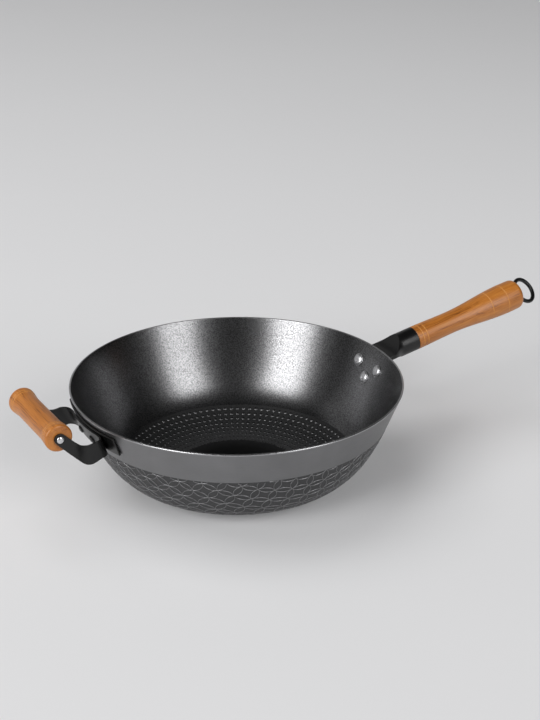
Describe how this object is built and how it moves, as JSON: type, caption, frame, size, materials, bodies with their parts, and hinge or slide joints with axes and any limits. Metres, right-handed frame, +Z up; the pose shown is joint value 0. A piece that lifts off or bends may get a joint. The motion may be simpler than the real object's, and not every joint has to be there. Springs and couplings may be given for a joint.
{
  "type": "two-handled wok",
  "caption": "Steel wok with a flat base, a riveted long wooden handle with a hanging ring, and an opposite wooden helper handle carried by a bent steel strap.",
  "frame": {"origin": "centre of the flat base, on the surface that the wok stands on", "axes": "+X along the long handle, +Z up, the helper handle towards -X"},
  "size_m": [0.5755, 0.32, 0.138],
  "materials": {
    "bowl_steel": "dark satin, finely textured",
    "black_steel": "black, satin",
    "bright_steel": "polished",
    "wood": "lacquered, satin"
  },
  "bodies": {
    "wok": {"wok_bowl": "bowl_steel", "handle_socket": "black_steel", "handle_rivet_1": "bright_steel", "handle_rivet_2": "bright_steel", "handle_rivet_3": "bright_steel", "handle_grip": "wood", "tie_rod": "black_steel", "tie_nut": "bright_steel", "helper_plate": "black_steel", "helper_strap": "black_steel", "helper_rivet_1": "bright_steel", "helper_rivet_2": "bright_steel", "helper_bolt": "bright_steel", "helper_cap_nut": "bright_steel"},
    "ring": {"hanging_ring": "black_steel"},
    "helper_roller": {"helper_grip": "wood"}
  },
  "joints": [
    {"name": "hanging_ring_swing", "type": "hinge", "parent": "wok", "child": "ring", "pos_m": [0.33522, 0, 0.12405], "axis": [-0.1431, 0.6691, 0.7292], "range_deg": [-68, 22]},
    {"name": "helper_grip_spin", "type": "hinge", "parent": "wok", "child": "helper_roller", "pos_m": [-0.2008, 0, 0.1032], "axis": [0, 1, 0], "continuous": true}
  ]
}
